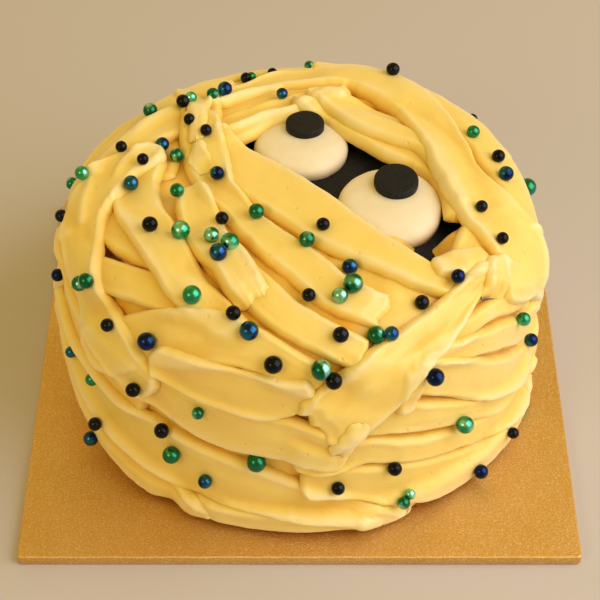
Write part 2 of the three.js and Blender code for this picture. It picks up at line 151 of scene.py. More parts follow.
def smoothed(values, reach, axis):
    span = int(np.ceil(2.5 * reach))
    weights = np.exp(-0.5 * (np.arange(-span, span + 1) / reach) ** 2)
    moved = np.moveaxis(values, axis, 0)
    padded = np.concatenate([np.repeat(moved[:1], span, 0), moved, np.repeat(moved[-1:], span, 0)])
    total = sum(w * padded[k:k + len(moved)] for k, w in enumerate(weights / weights.sum()))
    return np.moveaxis(total, 0, axis)


def makeObject(name, points, faces, material, body="root", slot=None, replaced=()):
    mesh = bpy.data.meshes.new(name)
    mesh.from_pydata((np.asarray(points) / 1000).tolist(), [], faces)
    mesh.polygons.foreach_set("use_smooth", [True] * len(mesh.polygons))
    mesh.materials.append(material)
    mesh.update()
    piece = bpy.data.objects.new(name, mesh)
    scene.collection.objects.link(piece)
    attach(piece, body)
    if replaced:
        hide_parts(*replaced)
    return piece


# Nodes and the effects that several materials share

def addNode(tree, kind, inputs=None, **settings):
    made = tree.nodes.new(kind)
    for key, value in settings.items():
        setattr(made, key, value)
    for key, value in (inputs or {}).items():
        if isinstance(value, bpy.types.NodeSocket):
            tree.links.new(value, made.inputs[key])
        else:
            made.inputs[key].default_value = value
    return made


def newMaterial(name, **sockets):
    material = bpy.data.materials.new(name)
    material.use_nodes = True
    shader = material.node_tree.nodes["Principled BSDF"]
    for key, value in sockets.items():
        shader.inputs[key].default_value = value
    return material, material.node_tree, shader


def makeGrainGroup():
    # Fine and broad mottling in the object's own space, both from 0 to 1
    group = bpy.data.node_groups.new("sugarGrain", "ShaderNodeTree")
    for name, start in (("Fine Scale", 900.0), ("Broad Scale", 60.0), ("Broad Detail", 3.0)):
        group.interface.new_socket(name, in_out="INPUT", socket_type="NodeSocketFloat").default_value = start
    for name in ("Fine", "Broad"):
        group.interface.new_socket(name, in_out="OUTPUT", socket_type="NodeSocketFloat")
    given = addNode(group, "NodeGroupInput")
    place = addNode(group, "ShaderNodeTexCoord").outputs["Object"]
    fine = addNode(group, "ShaderNodeTexNoise", {
        "Vector": place, "Scale": given.outputs["Fine Scale"], "Detail": 2.0, "Roughness": 0.6})
    broad = addNode(group, "ShaderNodeTexNoise", {
        "Vector": place, "Scale": given.outputs["Broad Scale"], "Detail": given.outputs["Broad Detail"]})
    out = addNode(group, "NodeGroupOutput")
    group.links.new(fine.outputs["Fac"], out.inputs["Fine"])
    group.links.new(broad.outputs["Fac"], out.inputs["Broad"])
    return group


grainGroup = makeGrainGroup()


def addGrain(tree, fine, broad, detail=3.0):
    made = addNode(tree, "ShaderNodeGroup", node_tree=grainGroup)
    for key, value in (("Fine Scale", fine), ("Broad Scale", broad), ("Broad Detail", detail)):
        made.inputs[key].default_value = value
    return made.outputs["Fine"], made.outputs["Broad"]


def addRange(tree, value, low, high, toLow, toHigh):
    made = addNode(tree, "ShaderNodeMapRange", {
        "Value": value, "From Min": low, "From Max": high, "To Min": toLow, "To Max": toHigh})
    return made.outputs["Result"]


def addMix(tree, factor, first, second, mode="MIX"):
    made = addNode(tree, "ShaderNodeMix", data_type="RGBA", blend_type=mode)
    for socket, value in ((made.inputs[0], factor), (made.inputs[6], first), (made.inputs[7], second)):
        if isinstance(value, bpy.types.NodeSocket):
            tree.links.new(value, socket)
        else:
            socket.default_value = value
    return made.outputs[2]


def addBump(tree, height, strength, distance, under=None):
    inputs = {"Height": height, "Strength": strength, "Distance": distance}
    if under is not None:
        inputs["Normal"] = under
    return addNode(tree, "ShaderNodeBump", inputs).outputs["Normal"]


def makeIcing():
    # light is the icing's own colour; pale is a painted highlight colour for raised icing, deep a painted
    # shade colour for the grooves
    settings = {"pale": (0.94, 0.77, 0.40, 1), "light": (0.93, 0.70, 0.18, 1), "deep": (0.78, 0.44, 0.012, 1),
                "streakDepth": 0.00022}
    material, tree, shader = newMaterial(
        "butterIcing", **{"Subsurface Weight": 0.25, "Subsurface Radius": (1.0, 0.7, 0.2),
                          "Subsurface Scale": 0.0028, "Roughness": 0.5, "Specular IOR Level": 0.7,
                          "Coat Weight": 0.3, "Coat Roughness": 0.36,
                          "Sheen Weight": 0.35, "Sheen Roughness": 0.5})
    fine, broad = addGrain(tree, 1400, 45)
    # this attribute holds painted shade where the icing lies below its surroundings and painted highlight
    # where it stands proud
    paintedShading = addNode(tree, "ShaderNodeAttribute", attribute_name="paintedShading").outputs["Fac"]
    patchy = addRange(tree, broad, 0.3, 0.7, -0.12, 0.12)
    # the mask for the deep colour is painted shade in the grooves plus random patchy tone
    depth = addNode(tree, "ShaderNodeMath", {0: paintedShading, 1: patchy}, operation="ADD", use_clamp=True)
    # painted highlight: paler where the icing stands proud; painted shade: deeper colour in the grooves
    highlightedColour = addMix(tree, addRange(tree, paintedShading, -0.4, -0.05, 1, 0), settings["light"], settings["pale"])
    colour = addMix(tree, depth.outputs[0], highlightedColour, settings["deep"])
    tree.links.new(colour, shader.inputs["Base Color"])
    tree.links.new(addRange(tree, broad, 0.3, 0.7, 0.44, 0.58), shader.inputs["Roughness"])
    # streaks dragged along each ribbon: its UV map runs across and along it, in centimetres
    drag = addNode(tree, "ShaderNodeMapping", {"Scale": (9.0, 0.55, 1.0)})
    tree.links.new(addNode(tree, "ShaderNodeUVMap", uv_map="UVMap").outputs["UV"], drag.inputs["Vector"])
    streaks = addNode(tree, "ShaderNodeTexNoise", {
        "Vector": drag.outputs[0], "Scale": 1.0, "Detail": 3.0, "Roughness": 0.55})
    place = addNode(tree, "ShaderNodeTexCoord").outputs["Object"]
    bubbles = addNode(tree, "ShaderNodeTexVoronoi", {"Vector": place, "Scale": 105.0, "Randomness": 1.0})
    pits = addRange(tree, bubbles.outputs["Distance"], 0.05, 0.11, 0.0, 1.0)
    normal = addBump(tree, streaks.outputs["Fac"], 0.5, settings["streakDepth"])
    normal = addBump(tree, pits, 0.6, 0.0005, normal)
    normal = addBump(tree, fine, 0.12, 0.00012, normal)
    tree.links.new(normal, shader.inputs["Normal"])
    return material


def makeSugar():
    material, tree, shader = newMaterial(
        "ivorySugar", **{"Subsurface Weight": 0.3, "Subsurface Radius": (1.0, 0.6, 0.3),
                         "Subsurface Scale": 0.003, "Roughness": 0.5, "Specular IOR Level": 0.4})
    fine, broad = addGrain(tree, 2200, 55)
    low = addNode(tree, "ShaderNodeAttribute", attribute_name="paintedShading").outputs["Fac"]
    pale = addMix(tree, addRange(tree, broad, 0.35, 0.65, 0, 1), (0.88, 0.81, 0.68, 1), (0.85, 0.75, 0.58, 1))
    # painted shade: deeper colour towards the lower edge of each eye
    colour = addMix(tree, low, pale, (0.80, 0.60, 0.36, 1))
    tree.links.new(colour, shader.inputs["Base Color"])
    tree.links.new(addRange(tree, fine, 0.3, 0.7, 0.42, 0.56), shader.inputs["Roughness"])
    normal = addBump(tree, broad, 0.2, 0.0006)
    tree.links.new(addBump(tree, fine, 0.12, 0.0001, normal), shader.inputs["Normal"])
    return material


def makeBlack():
    material, tree, shader = newMaterial("blackIcing", **{"Roughness": 0.62, "Specular IOR Level": 0.2})
    fine, broad = addGrain(tree, 1500, 260)
    speck = addRange(tree, fine, 0.60, 0.74, 0, 1)
    ground = addMix(tree, broad, (0.006, 0.006, 0.008, 1), (0.016, 0.016, 0.02, 1))
    tree.links.new(addMix(tree, speck, ground, (0.05, 0.048, 0.05, 1)), shader.inputs["Base Color"])
    tree.links.new(addRange(tree, broad, 0.3, 0.7, 0.5, 0.75), shader.inputs["Roughness"])
    normal = addBump(tree, broad, 0.5, 0.0006)
    tree.links.new(addBump(tree, fine, 0.3, 0.00025, normal), shader.inputs["Normal"])
    return material


def makePearl(name, dark, light, patch, metallic, roughness, coat):
    material, tree, shader = newMaterial(
        name, **{"Metallic": metallic, "Roughness": roughness, "Coat Weight": coat, "Coat Roughness": 0.12,
                 "Specular IOR Level": 0.25})
    fine, broad = addGrain(tree, 2600, 150, 0.5)
    tint = addNode(tree, "ShaderNodeAttribute", attribute_name="tint").outputs["Fac"]
    colour = addMix(tree, tint, dark, light)
    colour = addMix(tree, addRange(tree, broad, 0.35, 0.5, 0.5, 0), colour, dark)
    colour = addMix(tree, addRange(tree, broad, 0.53, 0.63, 0, 0.75), colour, patch)
    tree.links.new(colour, shader.inputs["Base Color"])
    worn = addRange(tree, fine, 0.3, 0.7, roughness * 0.8, roughness * 1.25)
    tree.links.new(worn, shader.inputs["Roughness"])
    tree.links.new(addBump(tree, fine, 0.08, 0.00008), shader.inputs["Normal"])
    return material


def makeFoil():
    material, tree, shader = newMaterial("goldCard", **{"Metallic": 1.0, "Roughness": 0.36})
    fine, broad = addGrain(tree, 1900, 22)
    colour = addMix(tree, addRange(tree, broad, 0.3, 0.7, 0, 1), (0.80, 0.50, 0.17, 1), (0.74, 0.44, 0.11, 1))
    # painted glints: pale bright flecks scattered over the foil
    colour = addMix(tree, addRange(tree, fine, 0.5, 0.66, 0, 0.7), colour, (1.0, 0.82, 0.55, 1))
    tree.links.new(colour, shader.inputs["Base Color"])
    tree.links.new(addRange(tree, fine, 0.3, 0.7, 0.34, 0.5), shader.inputs["Roughness"])
    tree.links.new(addBump(tree, fine, 1.0, 0.0004), shader.inputs["Normal"])
    return material


icing = makeIcing()
sugar = makeSugar()
blackIcing = makeBlack()
goldCard = makeFoil()
pearlFinish = {
    "black": makePearl(
        "pearlBlack", dark=(0.005, 0.005, 0.008, 1), light=(0.01, 0.012, 0.03, 1),
        patch=(0.012, 0.014, 0.03, 1), metallic=0.8, roughness=0.18, coat=0.15),
    "blue": makePearl(
        "pearlBlue", dark=(0.002, 0.010, 0.08, 1), light=(0.008, 0.05, 0.30, 1),
        patch=(0.02, 0.16, 0.34, 1), metallic=1.0, roughness=0.24, coat=0.2),
    "green": makePearl(
        "pearlGreen", dark=(0.003, 0.14, 0.075, 1), light=(0.05, 0.48, 0.30, 1),
        patch=(0.35, 0.85, 0.75, 1), metallic=1.0, roughness=0.28, coat=0.35),
}
print("materials made")


# Ribbons of icing, in the order they are piped: stops (bearing, elevation, width)
wrapping = {
    "thickness": 4.4, "sink": 2.2, "press": 0.42, "pressFrom": -3.5, "drape": 1.3,
    "rowStep": 1.15, "columnStep": 0.95, "shoulder": 3.4,
    "edges": [0, 0.12, 0.4, 0.9, 1.6, 2.5], "lip": 0.4, "ragged": 0.5, "ridge": 0.07, "kneaded": 0.3,
}
# Round the back and the sides that the photo doesn't show: rows up the side, two to a row
backRows = {"count": 12, "rows": 6, "lowest": -8, "rise": 10, "width": 23, "starts": (82, 174), "sweep": 89,
            "thickness": 4.4, "thinAbove": 25, "thin": 2.4}
ribbons = [
    {"name": "leftLump", "stops": [(-112, 14, 18), (-99, 10, 18), (-84, 12, 16)]},
    {"name": "footLeft", "thickness": 3.8, "stops": [
        (-90, 3, 16), (-73, -3, 17), (-58, -8, 16), (-46, -10, 15), (-33, -12, 13)]},
    {"name": "footFront", "thickness": 3.8, "stops": [
        (-24, -12, 14), (-4, -12, 16), (14, -12, 15), (28, -12, 12)]},
    {"name": "baseRight", "thickness": 4, "stops": [
        (12, -12, 15), (29, -11, 16), (45, -11, 16), (60, -11, 15), (84, -9, 16)]},
    {"name": "baseFront", "torn": 2, "thickness": 5.2, "stops": [
        (-30, -11, 12), (-18, -12, 17), (-6, -12, 18), (8, -13, 17), (20, -14, 14)]},
    {"name": "baseLeft", "torn": 5, "ragged": 0.8, "thickness": 4.4, "stops": [
        (-88, 9, 18), (-71, 3, 20), (-60, -2, 21), (-49, -6, 21), (-38, -9, 21), (-29, -12, 19),
        (-20, -15, 16)]},
    {"name": "sideLow", "stops": [(-88, 27, 20), (-66, 33.5, 18), (-45, 40, 19), (-28, 42, 20)]},
    {"name": "sideHigh", "stops": [(-98, 36, 21), (-67, 43.5, 18.5), (-40, 49, 21)]},
    {"name": "backOuter", "stops": [(-75, 34, 22), (-98, 38, 23), (-119, 43, 23), (-142, 46, 21)]},
    {"name": "backInner", "stops": [(-92, 41, 20), (-115, 48, 20), (-138, 53, 20)]},
    {"name": "rimBack", "thickness": 2.6, "stops": [
        (174, 43, 20), (160, 43, 20), (130, 44, 20), (100, 40, 20)]},
    {"name": "backTop", "thickness": 3.4, "stops": [(-136, 45, 20), (-147, 46, 19), (-158, 48, 15)]},
    {"name": "underArc", "stops": [(-92, 26, 22), (-76, 18, 22), (-57, 16, 22), (-38, 13, 20)]},
    {"name": "longLow", "torn": 3, "stops": [
        (-84, 13, 24), (-67, 8, 28), (-52, 5, 31), (-38, 2, 32), (-25, 0, 31), (-12, -2, 26), (0, -5, 20),
        (13, -9, 15), (27, -15, 9)]},
    {"name": "rimRight", "thickness": 3, "stops": [
        (72, 26, 20), (90, 29, 20), (108, 33, 20), (124, 36, 18)]},
    {"name": "rightLow", "torn": 2, "press": 0.2, "stops": [
        (0, 1, 17), (9, 0, 18), (17, -2, 20), (26, -5, 23), (36, -8, 23), (48, -10, 19), (61, -11, 16),
        (80, -10, 15)]},
    {"name": "rightMid", "torn": 2, "press": 0.2, "stops": [
        (-2, 9, 20), (7, 8, 19), (16, 8, 17), (25, 5, 15), (36, 2, 15), (47, -1, 15), (61, -5, 14),
        (73, -6, 14)]},
    {"name": "rightHigh", "torn": 2, "press": 0.2, "stops": [
        (2, 19, 22), (11, 18, 23), (19, 17, 21), (28, 14, 19), (38, 10, 16), (48, 6, 14), (61, 1, 13),
        (80, 1, 14)]},
    {"name": "midFront", "torn": 3, "stops": [
        (-60, 21, 22), (-48, 22, 22), (-38, 20, 23), (-28, 17, 25), (-18, 15, 28), (-8, 14, 28),
        (1, 13, 25), (12, 9, 22)]},
    {"name": "fanB", "torn": 2, "stops": [
        (28, 30, 10), (37, 31, 11), (45, 31, 11), (54, 30, 11), (65, 25, 12), (79, 20, 12)]},
    {"name": "fanA", "torn": 2, "stops": [
        (26, 29, 10), (34, 29, 11), (44, 26, 14), (55, 22, 16), (68, 15, 17), (80, 10, 17)]},
    {"name": "rightBand", "torn": 2, "press": 0.2, "stops": [
        (12, 30, 17), (24, 27, 20), (32, 24, 22), (41, 19, 22), (52, 12, 21), (65, 5, 20), (74, 2, 19)]},
    {"name": "innerArc", "stops": [
        (-107, 51, 13), (-98, 51, 18), (-88, 49, 22), (-73, 49, 23), (-57, 49, 22), (-44, 47, 21),
        (-34, 44, 20), (-25, 42, 18), (-15, 38, 16)]},
    {"name": "shoulder", "stops": [
        (-56, 20, 22), (-48, 24, 25), (-38, 31, 26), (-26, 35, 27), (-15, 36, 24), (-4, 33, 19),
        (6, 28, 15)]},
    {"name": "bigArc", "lip": 0.9, "stops": [
        (-108, 53, 12), (-100, 51, 16), (-94, 46, 21), (-86, 42, 26), (-79, 38, 27), (-70, 35, 25),
        (-62, 31, 25), (-55, 28, 25), (-47, 26, 25), (-40, 23, 23), (-33, 21, 18)]},
    {"name": "diagLow", "stops": [
        (-44, 57, 18), (-32, 54, 19), (-18, 50, 20), (-5, 44, 19), (5, 39, 18), (16, 33, 17)]},
    {"name": "win10c", "stops": [
        (-138, 54, 14), (-151, 55, 12), (-163, 55, 11), (-176, 54, 10), (170, 53, 10), (160, 51, 10)]},
    {"name": "win10b", "stops": [
        (-128, 59, 12), (-143, 60, 12), (-161, 60, 11), (-178, 58, 11), (168, 56, 10), (158, 52, 10)]},
    {"name": "win10a", "stops": [
        (-119, 62, 10), (-129, 63, 11), (-144, 64, 10), (-161, 63, 9), (-177, 62, 9), (170, 58, 9),
        (159, 54, 9)]},
    {"name": "win9b", "stops": [
        (-176, 57, 6), (176, 60, 9), (161, 61, 13), (140, 62, 18), (119, 60, 21), (103, 56, 17),
        (86, 52, 12), (69, 49, 10)]},
    {"name": "win9a", "stops": [
        (178, 55, 8), (168, 57, 13), (155, 58, 20), (142, 59, 22), (125, 57, 22), (109, 54, 16),
        (90, 52, 11), (73, 48, 10)]},
    {"name": "under7a", "drape": 3, "stops": [
        (-132, 52, 14), (-118, 66, 22), (-90, 78, 29), (2, 78, 30), (25, 66, 27), (35, 55, 22),
        (41, 46, 17), (47, 39, 13)]},
    {"name": "archPad", "thickness": 7, "stops": [(80, 35, 14), (75, 31, 24), (65, 26, 26)]},
    {"name": "stub", "stops": [(70, 42, 26), (64, 42, 25), (58, 42, 22), (53, 42, 17), (48, 43, 11)]},
    {"name": "stubLow", "kneaded": 0.8, "lip": 0, "stops": [
        (60, 39, 15), (54, 41.5, 16), (49, 44, 15), (44, 46, 10)]},
    {"name": "archOut", "ragged": 0.8, "drape": 3, "stops": [
        (163, 41, 20), (145, 44, 22), (130, 44, 22), (116, 43, 22), (101, 41, 22), (88, 37, 22),
        (80, 31, 20)]},
    {"name": "arch", "torn": 3, "lip": 0.8, "thickness": 5.4, "sink": 4, "drape": 4.5, "press": 0.45,
     "stops": [
        (-139, 53, 8), (-150, 52, 12), (-160, 51, 15), (-169, 49, 18), (-177, 48, 20), (160, 46, 22),
        (139, 48, 23), (124, 50, 23), (109, 51, 23), (93, 50, 24), (82, 47, 28), (75, 42, 33),
        (71, 36, 38), (67, 30, 37), (64, 25, 33)]},
    {"name": "torn", "torn": 3, "tornHead": 3, "lip": 0.8, "press": 0.3, "thickness": 4, "stops": [
        (-143, 47, 17), (-139, 51, 19), (-124, 58, 21), (-104, 64, 21), (-76, 67, 17), (-49, 68, 15),
        (-25, 65, 18), (-7, 60, 20), (4, 55, 21), (11, 49, 21), (18, 45, 20), (25, 41, 20)]},
    {"name": "peak", "thickness": 2.4, "shoulder": 3, "ragged": 1.3, "kneaded": 0.9, "lip": 0,
     "torn": 3, "sink": 0.5, "press": 1, "stops": [
        (-143, 50, 6), (-135, 53, 11), (-125, 57, 9), (-113, 60, 6)]},
    {"name": "peakLow", "thickness": 1.6, "shoulder": 3, "ragged": 1.3, "kneaded": 0.9, "lip": 0,
     "torn": 3, "sink": 0.5, "press": 1, "stops": [(-116, 60, 6), (-103, 62, 9), (-90, 65, 8)]},
    {"name": "diagUp", "torn": 3, "stops": [
        (-84, 61, 14), (-66, 60, 18), (-50, 58, 20), (-38, 55, 20), (-27, 53, 19), (-19, 49, 18),
        (-12, 45, 17)]},
    {"name": "short5", "stops": [(-36, 28, 16), (-26, 27, 22), (-16, 26, 24), (-6, 25, 24), (4, 26, 18)]},
    {"name": "drip", "lip": 0.2, "stops": [
        (27, 29, 14), (25.5, 24, 13), (24.5, 20.5, 11), (24.5, 17.5, 8)]},
    {"name": "big6", "torn": 4, "tornHead": 3, "kneaded": 0.35, "lip": 0.7, "drape": 3, "stops": [
        (59, 38, 14), (47, 37, 15), (37, 35, 19), (29, 33, 22), (22, 30, 28), (16, 26, 33), (10, 22, 35),
        (3, 17, 33)]},
    {"name": "bigTear", "thickness": 1.8, "lip": 0, "ragged": 1.5, "kneaded": 1.2, "torn": 4,
     "tornHead": 3, "press": 1, "sink": 0.5, "stops": [
        (14, 20.5, 8), (12.5, 17, 13), (10, 13.5, 15), (7.5, 10, 10)]},
    {"name": "foldLump", "ragged": 1.8, "kneaded": 1.7, "lip": 0, "torn": 3, "stops": [
        (62, 39, 12), (58, 36, 15), (53, 32, 12)]},
]


def backRibbons():
    rows = backRows
    for k in range(rows["count"]):
        nudge, lean = k * 0.618 % 1, k * 0.755 % 1
        start = rows["starts"][int(k * 7 % rows["count"] / (rows["count"] / 2))] - 8 * nudge
        sweep = rows["sweep"] + 14 * lean
        level = rows["lowest"] + rows["rise"] * (k * 5 % rows["rows"])
        tilt = (4 + 7 * lean) * (1 if k % 2 else -1)
        width = rows["width"] + 3 * nudge
        thickness = rows["thin"] if level > rows["thinAbove"] else rows["thickness"]
        yield {"name": f"back{k}", "thickness": thickness, "stops": [
            (start, level - tilt, width), (start + sweep / 2, level + 3 * nudge, width),
            (start + sweep, level + tilt, width)]}


# level ribbons at the back and the sides, laid first and seen only where the others part
fillRows = {"levels": (-9, 1, 11, 21, 31), "from": 68, "arcs": 3, "sweep": 74, "width": 22, "thickness": 2.6}


def fillRibbons():
    rows = fillRows
    for k, level in enumerate(rows["levels"]):
        for arc in range(rows["arcs"]):
            start = rows["from"] + arc * rows["sweep"] + 9 * (k % 3 - 1) * min(arc, 1)
            yield {"name": f"fill{k}{arc}", "thickness": rows["thickness"], "filler": True, "stops": [
                (start, level - 2, rows["width"]), (start + rows["sweep"] / 2, level + 1, rows["width"]),
                (start + rows["sweep"] + 6, level - 1, rows["width"])]}


def routeOf(stops, step):
    # an even line of points along the ribbon, with its width at each
    places = np.array(stops, float)
    knots = np.column_stack([onDome(direction(places[:, 0], places[:, 1])), places[:, 2]])
    padded = np.vstack([2 * knots[0] - knots[1], knots, 2 * knots[-1] - knots[-2]])
    t = np.linspace(0, 1, 16, endpoint=False)[:, None]
    spans = []
    for a, b, c, d in zip(padded, padded[1:], padded[2:], padded[3:]):
        spans.append(0.5 * (2 * b + (c - a) * t + (2 * a - 5 * b + 4 * c - d) * t ** 2
                            + (3 * b - a - 3 * c + d) * t ** 3))
    line = np.vstack([*spans, knots[-1:]])
    line[:, :3] = onDome(unit(line[:, :3] - heart))
    length = np.r_[0, np.cumsum(np.linalg.norm(np.diff(line[:, :3], axis=0), axis=1))]
    even = np.linspace(0, length[-1], max(int(np.ceil(length[-1] / step)), 2) + 1)
    return np.column_stack([np.interp(even, length, line[:, k]) for k in range(4)]), even


def layRibbon(spec, seed):
    # the ribbon's closed skin, draped over the relief: top grid, rounded sides and a flat underside
    use = {**wrapping, **spec}
    line, along = routeOf(use["stops"], use["rowStep"])
    length = along[-1]
    centre = line[:, :3]
    side = unit(np.cross(domeNormal(centre), unit(np.gradient(centre, axis=0))))
    edges = np.array(use["edges"])
    inner = np.linspace(-1, 1, int((line[:, 3].mean() - 6.4) / use["columnStep"]) + 1)
    ends = np.r_[0.03, edges[1:]] / length
    between = np.linspace(3.4 / length, 1 - 3.4 / length, int(length / use["rowStep"]))
    rows = np.r_[ends, between, 1 - ends[::-1]]
    wobble = use["ragged"] * (softNoise(seed, along / 11, along * 0 + 3.5)
                              + 0.65 * softNoise(seed, along / 3.1, along * 0 + 9.5))
    leftHalf = line[:, 3] / 2 + wobble
    rightHalf = line[:, 3] / 2 + wobble[::-1]
    # the lower edge stops just above the board
    room = (centre[:, 2] - boardHigh.z - 0.8) / np.maximum(np.abs(side[:, 2]), 0.05)
    leftHalf = np.where(side[:, 2] > 0, np.minimum(leftHalf, room), leftHalf)
    rightHalf = np.where(side[:, 2] < 0, np.minimum(rightHalf, room), rightHalf)
    u = np.r_[-1 + edges / 10, inner * 0.66, 1 - edges[::-1] / 10]
    roundEnd = line[:, 3].mean() / 2 * (1 - np.sqrt(1 - np.clip(np.abs(u), 0, 1) ** 2))
    tear = (np.abs(softNoise(seed + 1, u * 2.6 + 20, u * 0 + 0.5))
            + 0.3 * np.abs(softNoise(seed, u * 7 + 40, u * 0)))
    headCut = 0.75 * roundEnd + use.get("tornHead", 0) * tear
    tailCut = 0.35 * roundEnd + use.get("torn", 0.8) * tear[::-1]
    at = headCut[None] + (length - headCut - tailCut)[None] * rows[:, None]

    def onLine(values):
        return np.interp(at, along, values)

    left, right = onLine(leftHalf), onLine(rightHalf)
    count = len(edges)
    x = np.empty_like(at)
    x[:, :count] = -left[:, :count] + edges
    x[:, -count:] = right[:, -count:] - edges[::-1]
    share = (inner + 1) / 2
    middle = slice(count, -count)
    x[:, middle] = (-left[:, middle] + 3.2) * (1 - share) + (right[:, middle] - 3.2) * share
    points = np.stack([onLine(centre[:, k]) for k in range(3)], -1)
    points = points + np.stack([onLine(side[:, k]) for k in range(3)], -1) * x[..., None]
    d = unit(points - heart)
    under = heightAt(d)
    rest = smoothed(smoothed(under, 5 / use["rowStep"], 0), use["drape"], 1)
    rest = rest + (use["press"] - 1) * np.maximum(rest - use["pressFrom"], 0)
    rest = np.maximum(rest, under - use["sink"])
    fromEnd = np.minimum(rows, 1 - rows)[:, None] * length
    edge = np.minimum(np.minimum(x + left, right - x), fromEnd)
    depth = np.clip(edge / use["shoulder"], 0, 1)
    swell = use["thickness"] * np.sqrt(np.clip(1 - (1 - depth) ** 2, 0, 1)) + 0.1
    uneven = 0.75 + 0.6 * softNoise(seed + 2, at / 17, x / 9)
    lips = use["lip"] * np.exp(-((edge - 2.6) / 1.5) ** 2) * uneven
    sway = 0.4 * softNoise(seed, at / 23, x * 0)
    ridges = sum(use["ridge"] * softNoise(seed + 3 + k, x / size + sway, at / 60)
                 for k, size in enumerate((1.7, 3.6)))
    lumps = softNoise(seed + 5, at / 11, x / 8) + 0.45 * softNoise(seed + 6, at / 4.5, x / 4)
    kneaded = use["kneaded"] * lumps
    # a torn end thins out as it lifts off the spatula
    fromTorn = np.ones_like(at)
    if use.get("torn"):
        fromTorn = np.minimum(fromTorn, 0.45 + 0.55 * np.clip((1 - rows[:, None]) * length / 9, 0, 1))
    if use.get("tornHead"):
        fromTorn = np.minimum(fromTorn, 0.45 + 0.55 * np.clip(rows[:, None] * length / 9, 0, 1))
    inside = np.clip(edge / 2, 0, 1)
    top = rest + swell * fromTorn + (lips + ridges + kneaded) * inside
    bottom = rest - 0.25 - 0.5 * np.clip(edge / 2, 0, 1)
    base, normal = onDome(d), domeNormal(onDome(d))
    if not use.get("filler"):
        raiseRelief(d, top)
    skin = {"name": spec["name"], "dirs": d, "height": top, "uv": np.stack([x / 10, at / 10 + 3 * seed], -1)}
    for key, height, lift in (("top", top, 0.15), ("under", bottom, 0.05)):
        skin[key] = base + normal * height[..., None]
        skin[key][..., 2] = np.maximum(skin[key][..., 2], boardHigh.z + lift)
    return skin


def skinOf(ribbon):
    # rows of closed rings: across the top, then back underneath with few points
    top, under = ribbon["top"], ribbon["under"]
    rows, columns = top.shape[:2]
    back = [columns - 2, columns - 4, columns - 6, 5, 3, 1]
    ring = columns + len(back)
    points = np.concatenate([top, under[:, back]], 1).reshape(-1, 3)
    uv = np.concatenate([ribbon["uv"], ribbon["uv"][:, back]], 1).reshape(-1, 2)
    height = np.concatenate([ribbon["height"], ribbon["height"][:, back]], 1).ravel()
    dirs = np.concatenate([ribbon["dirs"], ribbon["dirs"][:, back]], 1).reshape(-1, 3)
    faces = []
    for i in range(rows - 1):
        for j in range(ring):
            a, b = i * ring + j, i * ring + (j + 1) % ring
            faces.append((a, a + ring, b + ring, b))
    faces.append(tuple(range(ring)))
    faces.append(tuple((rows - 1) * ring + j for j in range(ring))[::-1])
    return points, faces, uv, height, dirs


# the depth below the blurred relief at which the painted shade reaches full strength
paintedShadeDepth = 3.8  # how far below its surroundings the icing has its full depth of colour


def setHollow(piece, values, name="paintedShading"):
    attribute = piece.data.attributes.new(name, "FLOAT", "POINT")
    attribute.data.foreach_set("value", np.asarray(values, np.float32))


def setFlatMap(piece, places):
    # a UV map in centimetres, from one place for each point of the mesh
    layer = piece.data.uv_layers.new(name="UVMap")
    loops = np.zeros(len(piece.data.loops), int)
    piece.data.loops.foreach_get("vertex_index", loops)
    layer.data.foreach_set("uv", places[loops].ravel())


def joinSkins(name, skins, blurred, **options):
    points, faces, uvs, paintedShadings = [], [], [], []
    start = 0
    for place, skin, uv, height, dirs in skins:
        points.append(place)
        faces += [tuple(start + k for k in face) for face in skin]
        uvs.append(uv)
        # painted shade where the ribbon lies below the blurred relief, painted highlight where it stands
        # above it
        paintedShadings.append(np.clip((heightAt(dirs, blurred) - height) / paintedShadeDepth, -0.4, 1))
        start += len(place)
    piece = makeObject(name, np.vstack(points), faces, icing, **options)
    setHollow(piece, np.concatenate(paintedShadings))
    setFlatMap(piece, np.vstack(uvs))
    print(name, len(piece.data.polygons), "faces")
    return piece


fills = [layRibbon(spec, 900 + 7 * k) for k, spec in enumerate(fillRibbons())]
laid = [layRibbon(spec, 11 + 7 * k) for k, spec in enumerate([*backRibbons(), *ribbons])]
for ribbon in fills:
    raiseRelief(ribbon["dirs"], ribbon["height"])
laid += fills
blurredRelief = smoothed(smoothed(relief, 5, 0), 5, 1)
print("ribbons laid:", len(laid), "highest", round(float(relief.max()), 1))

# The coat of icing under the ribbons: from the rim of the gap for the eyes down to the board
coat = {"x": 17, "y": 9, "length": 116, "width": 62, "turn": -32, "sides": 240, "rings": 84, "thick": 3.4,
        "foot": -14.5, "cracks": [(-66, 38, 3.2, 9), (-61, 39.5, 2.6, 9), (52, 50.5, 7, 11)]}


